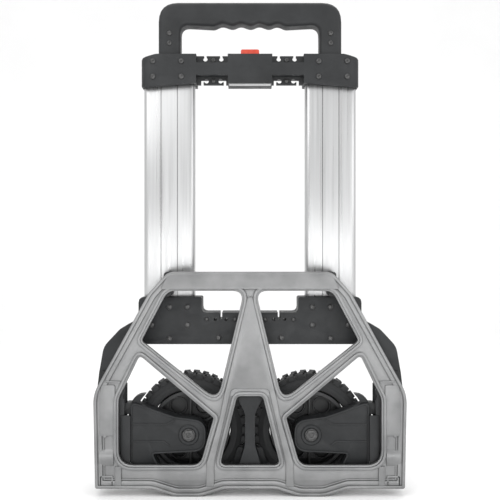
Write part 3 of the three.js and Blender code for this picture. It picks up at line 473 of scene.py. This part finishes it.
# Base colour: moulded tone times painted shade where faces are close together.
tree.links.new(
    multiplied(
        tree, tint(tree, flow, (0.013, 0.014, 0.015), (0.024, 0.0255, 0.027)),
        painted_crevice_shade(tree, 0.01, (0.35, 0.35, 0.35)),
    ),
    shader.inputs["Base Color"],
)
tree.links.new(remap(tree, noise(tree, 70), 0.42, 0.6), shader.inputs["Roughness"])
shader.inputs["Specular IOR Level"].default_value = 0.35
bumped(tree, shader, noise(tree, 1500, detail=2), 0.00018, 0.45)
bumped(tree, shader, noise(tree, 45), 0.0006, 0.15)


def softened(node, width, segments=2, crease=28):
    """A copy of a CAD node's mesh, merged, with its flat faces joined and its edges rounded."""
    bm = bmesh.new()
    bm.from_mesh(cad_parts[node].data)
    bmesh.ops.remove_doubles(bm, verts=bm.verts, dist=2e-6)
    bmesh.ops.dissolve_limit(bm, angle_limit=math.radians(1), verts=bm.verts, edges=bm.edges)
    mesh = bpy.data.meshes.new("softened")
    bm.to_mesh(mesh)
    bm.free()
    holder = bpy.data.objects.new("softened", mesh)
    bpy.context.scene.collection.objects.link(holder)
    rounding = holder.modifiers.new("rounding", "BEVEL")
    rounding.width = width * MM
    rounding.segments = segments
    rounding.limit_method = "ANGLE"
    rounding.angle_limit = math.radians(crease)
    rounding.use_clamp_overlap = True
    bpy.context.view_layer.update()
    evaluated = holder.evaluated_get(bpy.context.evaluated_depsgraph_get())
    result = bpy.data.meshes.new_from_object(evaluated)
    bpy.data.objects.remove(holder)
    return result


arm = [(144, 40, 4), (189, 40, 6), (189, 145, 8), (120, 121, 20), (70, 114, 21)]
arm += [(70, 66, 21), (154, 62, 3)]
upper_rib = [(188, 107.5), (188, 110.5), (131, 110.5), (121, 117), (118.5, 114.5), (130, 107.5)]
lower_rib = [(188, 80.5), (188, 83), (136, 83), (127, 76), (129, 74), (137, 80.5)]
bolt = [(97 + 9 * math.cos(a), 92 + 9 * math.sin(a)) for a in
        [math.tau * i / 6 for i in range(6)]]
boss_ring = [(10.5, 20.5), (10.5, 18), (12, 17), (15, 17), (16.5, 18.3), (16.5, 20.5)]
for side, name in SIDES:
    body = "wheel_arm_" + name
    overlays = [
        prism([arm, inset(arm, 3)], "Y", 17.6, 21, 0.9),
        prism([upper_rib], "Y", 18, 21, 0.6),
        prism([lower_rib], "Y", 18, 21, 0.6),
        turned(boss_ring, "Y", WHEEL, 48),
    ]
    piece("arm_shell_" + name, [softened("wheel_arm_" + name, 0.8)], body,
          plastic, ["wheel_arm_" + name])
    piece("arm_ribs_" + name, sided(side, overlays), body, plastic)
    socket = circle(WHEEL, 3.4, 12)
    axle_parts = [
        prism([bolt, socket], "Y", 15, 18.7, 0.7),
        rod("Y", WHEEL, 8, 16.5, 18.7),
        rod("Y", WHEEL, 6, 18, 99),
        rod("Y", WHEEL, 10.3, 17.8, 18.8),
    ]
    piece("axle_bolt_" + name, sided(side, axle_parts), body, black_steel,
          ["axle_" + name])

# ---- side posts and spine ------------------------------------------------------------------------
# Black mouldings between the lower bracket and the plate's hinge: a post on each side with knuckles
# for the arm's pin, a thin black plate before them as painted shade in the slits between the
# knuckles, and a slim spine in the middle with a wider foot.
# Painted shade: a thin black plate before the knuckles fills the slits between them and stands in for
# the shade in those gaps.
SLIT_SHADE_INNER, SLIT_SHADE_OUTER = 188.6, 204
SLIT_SHADE_LOW, SLIT_SHADE_HIGH = 43, 124
slit_shade_outline = [(SLIT_SHADE_INNER, SLIT_SHADE_LOW, 2), (SLIT_SHADE_OUTER, SLIT_SHADE_LOW, 2)]
slit_shade_outline += [(SLIT_SHADE_OUTER, SLIT_SHADE_HIGH, 2), (SLIT_SHADE_INNER, SLIT_SHADE_HIGH, 2)]
for side, name in SIDES:
    slit_shade_plate = prism([slit_shade_outline], "Y", 13.5, 16.5)
    post_parts = [softened("side_post_" + name, 1), *sided(side, [slit_shade_plate])]
    piece("post_moulding_" + name, post_parts, "root", plastic,
          ["side_post_" + name])
spine_foot = prism([[(-29, 38, 2), (29, 38, 2), (20, 66, 4), (-20, 66, 4)]], "Y", 44.5, 47.5)
piece("spine_moulding", [softened("centre_spine", 1.2), spine_foot], "root",
      plastic, ["centre_spine"])

# ---- stiles --------------------------------------------------------------------------------------
# The real stiles are bright anodised extrusions. Each has three hollow chambers and two fine
# grooves down each face, and is clamped in the head and in the lower bracket.
anodised, tree, shader = new_material("anodised_aluminium", metallic=0.85)
streaks = noise(tree, 260, (1, 1, 0.012), 3)
# Base colour: streaked anodised tone times painted shade where faces are close together.
tree.links.new(
    multiplied(
        tree, tint(tree, streaks, (0.46, 0.463, 0.466), (0.53, 0.533, 0.536)),
        painted_crevice_shade(tree, 0.006, (0.3, 0.3, 0.3)),
    ),
    shader.inputs["Base Color"],
)
tree.links.new(remap(tree, streaks, 0.26, 0.4), shader.inputs["Roughness"])
bumped(tree, shader, noise(tree, 1300, (1, 1, 0.02)), 0.00006, 0.3)

STILE_X = 131.5
stile_low, stile_high = (corner.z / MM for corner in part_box("stile_right"))
groove = 0.75
front = [(x + dx, 53 + dy) for x in (STILE_X - 13.3, STILE_X + 13.3)
         for dx, dy in ((-groove, 0), (-groove, 1.4), (groove, 1.4), (groove, 0))]
back = [(x, 132 - d) for x, d in reversed(front)]
section = [(90, 53, 8), *front, (173, 53, 8), (173, 79, 8), *back, (90, 79, 8)]
chambers = [
    [(x0, 66 - half, 3), (x1, 66 - half, 3), (x1, 66 + half, 3), (x0, 66 + half, 3)]
    for x0, x1, half in ((92.5, 117, 10.5), (119.5, 143.5, 9.5), (146, 170.5, 10.5))
]
for side, name in SIDES:
    stile_parts = [prism([section, *chambers], "Z", stile_low, stile_high, 0.25, 1)]
    piece("stile_extrusion_" + name, sided(side, stile_parts), "root",
          anodised, ["stile_" + name])

# ---- head, lower bracket and catches -----------------------------------------------------------------
# The real housings are black mouldings in two halves, clamped round the stiles with pan-head
# screws. The head has recesses with keyholes for straps. Rubber catches sit on the stiles.
def pan_screw(x, z, face, radius=4.4):
    """A domed screw head with a round socket, on a face at some depth."""
    profile = [(0, face - 0.9), (radius * 0.33, face - 0.9), (radius * 0.36, face - 2.1)]
    profile += [(radius * 0.62, face - 2), (radius * 0.88, face - 1.3), (radius, face - 0.3)]
    profile += [(radius, face + 1.5), (0, face + 1.5)]
    return turned(profile, "Y", (x, z), 20)


rubber_pad, tree, shader = new_material("buffer_rubber")
mottle = noise(tree, 200)
tree.links.new(
    tint(tree, mottle, (0.018, 0.018, 0.019), (0.03, 0.03, 0.031)), shader.inputs["Base Color"]
)
tree.links.new(remap(tree, mottle, 0.6, 0.8), shader.inputs["Roughness"])
bumped(tree, shader, mottle, 0.0002, 0.3)

housings = ["head_front_shell", "head_rear_shell", "lower_bracket_front", "lower_bracket_rear"]
for node in housings:
    piece(node + "_moulding", [softened(node, 1.6, 3)], "root", plastic, [node])
head_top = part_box("head_front_shell")[1].z / MM
head_screws = [pan_screw(x, head_top - drop, 42) for x in (111, 157) for drop in (12, 37)]
head_nodes = [f"head_screw_{name}_{i}" for _, name in SIDES for i in range(1, 5)]
piece("head_screw_heads", both(*head_screws), "root", black_steel, head_nodes)
keyhole_screws = [pan_screw(60, head_top - 7, 58, 3.8), pan_screw(59.5, head_top - 40.5, 58, 3.8)]
piece("keyhole_screw_heads", both(*keyhole_screws), "root", black_steel)
bracket_places = [(130, 293), (101, 293), (159, 264), (101, 264), (130, 242), (50.6, 243)]
bracket_screws = [pan_screw(x, z, 42) for x, z in bracket_places]
bracket_screws += [pan_screw(x, 273, 42, 3.2) for x in (24.4, 70)]
piece("bracket_screw_heads", both(*bracket_screws), "root", black_steel)
strip = prism([[(-34, 653.6), (34, 653.6), (34, 655.4), (-34, 655.4)]], "Y", 46, 60, 0.4)
piece("head_trim_strip", [strip], "root", anodised)
for side, name in SIDES:
    piece("catch_" + name, [softened("plate_buffer_" + name, 0.8)], "root",
          rubber_pad, ["plate_buffer_" + name])

# ---- telescoping handle ------------------------------------------------------------------------------
# The real grip is a thick rounded black moulding in two halves with finger scallops, screwed
# round two aluminium tubes that slide in the stiles' middle chambers.
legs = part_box("grip_front_shell")
grip_foot, grip_top = legs[0].z / MM, legs[1].z / MM
grip_half = legs[1].x / MM
opening_half, opening_top = grip_half - 36, grip_top - 36
scallops = [point for i in (-3, -1, 1, 3) for point in
            ((i * 15 - 13, opening_top - 3, 14), (i * 15, opening_top + 3, 14))]
grip = [(-opening_half, grip_foot - 20), (-opening_half, opening_top, 14), *scallops]
grip += [(58, opening_top - 3, 14), (opening_half, opening_top, 14)]
grip += [(opening_half, grip_foot - 20), (grip_half, grip_foot - 20)]
grip += [(grip_half, grip_top, 32), (-grip_half, grip_top, 32), (-grip_half, grip_foot - 20)]
grip.reverse()
parting = OUTER + 66 * MM
for node, towards in (("grip_front_shell", 1), ("grip_rear_shell", -1)):
    shell = prism([grip], "Y", 49, 83, 7, 6)
    trimmed(shell, (0, 0, grip_foot * MM), (0, 0, -1))
    trimmed(shell, (0, parting - towards * 0.15 * MM, 0), (0, towards, 0))
    piece(node + "_moulding", [shell], "handle", plastic, [node])
grip_screws = [pan_screw(131, z, 49.2, 4) for z in (737, 721)]
piece("grip_screw_heads", both(*grip_screws), "handle", black_steel)

# ---- release button ----------------------------------------------------------------------------------
# A red moulded button in the head's top, on a small coil spring. Pressing it flattens the spring and
# draws two steel bolts out of the tubes.
red, tree, shader = new_material("red_plastic")
fade = noise(tree, 130)
tree.links.new(
    tint(tree, fade, (0.56, 0.045, 0.02), (0.68, 0.07, 0.03)), shader.inputs["Base Color"]
)
tree.links.new(remap(tree, fade, 0.32, 0.45), shader.inputs["Roughness"])
bumped(tree, shader, noise(tree, 1500, detail=2), 0.0001, 0.3)
piece("button_moulding", [softened("release_button", 0.8)], "release_button", red,
      ["release_button"])
spring = piece("spring_coil", [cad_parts["button_spring"].data], "root", steel,
               ["button_spring"])
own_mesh(spring)

# ---- steel works and tubes shown from the CAD -----------------------------------------------------
# Gears, pins, rod, bolts, bearings, tubes and plugs are mostly hidden inside, and keep their CAD
# shapes. They are plain turned or pressed steel, anodised tube and moulded plugs.
finishes = {"inner_tube": anodised, "tube_end_plug": plastic}
for name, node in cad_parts.items():
    if not node.hide_render:
        node.data.materials.clear()
        node.data.materials.append(
            next((f for start, f in finishes.items() if name.startswith(start)), steel)
        )

# ---- floor, light and camera -----------------------------------------------------------------
# The truck stands on a plain pale floor that runs up into a pale backdrop, in soft light from
# above and both sides, seen square from the front.
studio, tree, shader = new_material("studio")
tree.links.new(tint(tree, noise(tree, 3), (0.9, 0.9, 0.9), (0.93, 0.93, 0.93)),
               shader.inputs["Base Color"])
shader.inputs["Roughness"].default_value = 0.7
sweep = [(-4000, -20), (3000, -20), (3000, 4000), (2980, 4000), (2980, 0, 900), (-4000, 0)]
floor_mesh = prism([sweep], "X", -5000, 5000, 1)
floor_mesh.shade_smooth()
floor_mesh.set_sharp_from_angle(angle=math.radians(30))
floor_mesh.materials.append(studio)
floor_object = bpy.data.objects.new("floor", floor_mesh)
bpy.context.scene.collection.objects.link(floor_object)


def soft_light(name, place, size, power, target=(0, 0, 0.38)):
    data = bpy.data.lights.new(name, "AREA")
    data.shape = "RECTANGLE"
    data.size, data.size_y = size
    data.energy = power
    light = bpy.data.objects.new(name, data)
    light.location = place
    light.rotation_euler = (Vector(target) - Vector(place)).to_track_quat("-Z", "Y").to_euler()
    bpy.context.scene.collection.objects.link(light)


soft_light("key", (-0.9, -1.7, 1.7), (1.4, 1.2), 10)
soft_light("fill", (1.3, -1.5, 0.9), (1.2, 1.2), 7)
soft_light("top", (0, 0.2, 2.2), (2.0, 1.6), 14)
soft_light("low", (0, -1.8, 0.12), (1.6, 0.3), 5, (0, 0, 0.15))

world = bpy.data.worlds.new("world")
world.use_nodes = True
world.node_tree.nodes["Background"].inputs["Color"].default_value = (1, 1, 1, 1)
world.node_tree.nodes["Background"].inputs["Strength"].default_value = 1.0
bpy.context.scene.world = world
bpy.context.scene.view_settings.view_transform = "Standard"

camera = bpy.data.objects.new("camera", bpy.data.cameras.new("camera"))
camera.location = (0, -1.252, 0.385)
camera.rotation_euler = (math.pi / 2, 0, 0)
camera.data.lens = 55.4
camera.data.sensor_width = 36
bpy.context.scene.collection.objects.link(camera)
bpy.context.scene.camera = camera
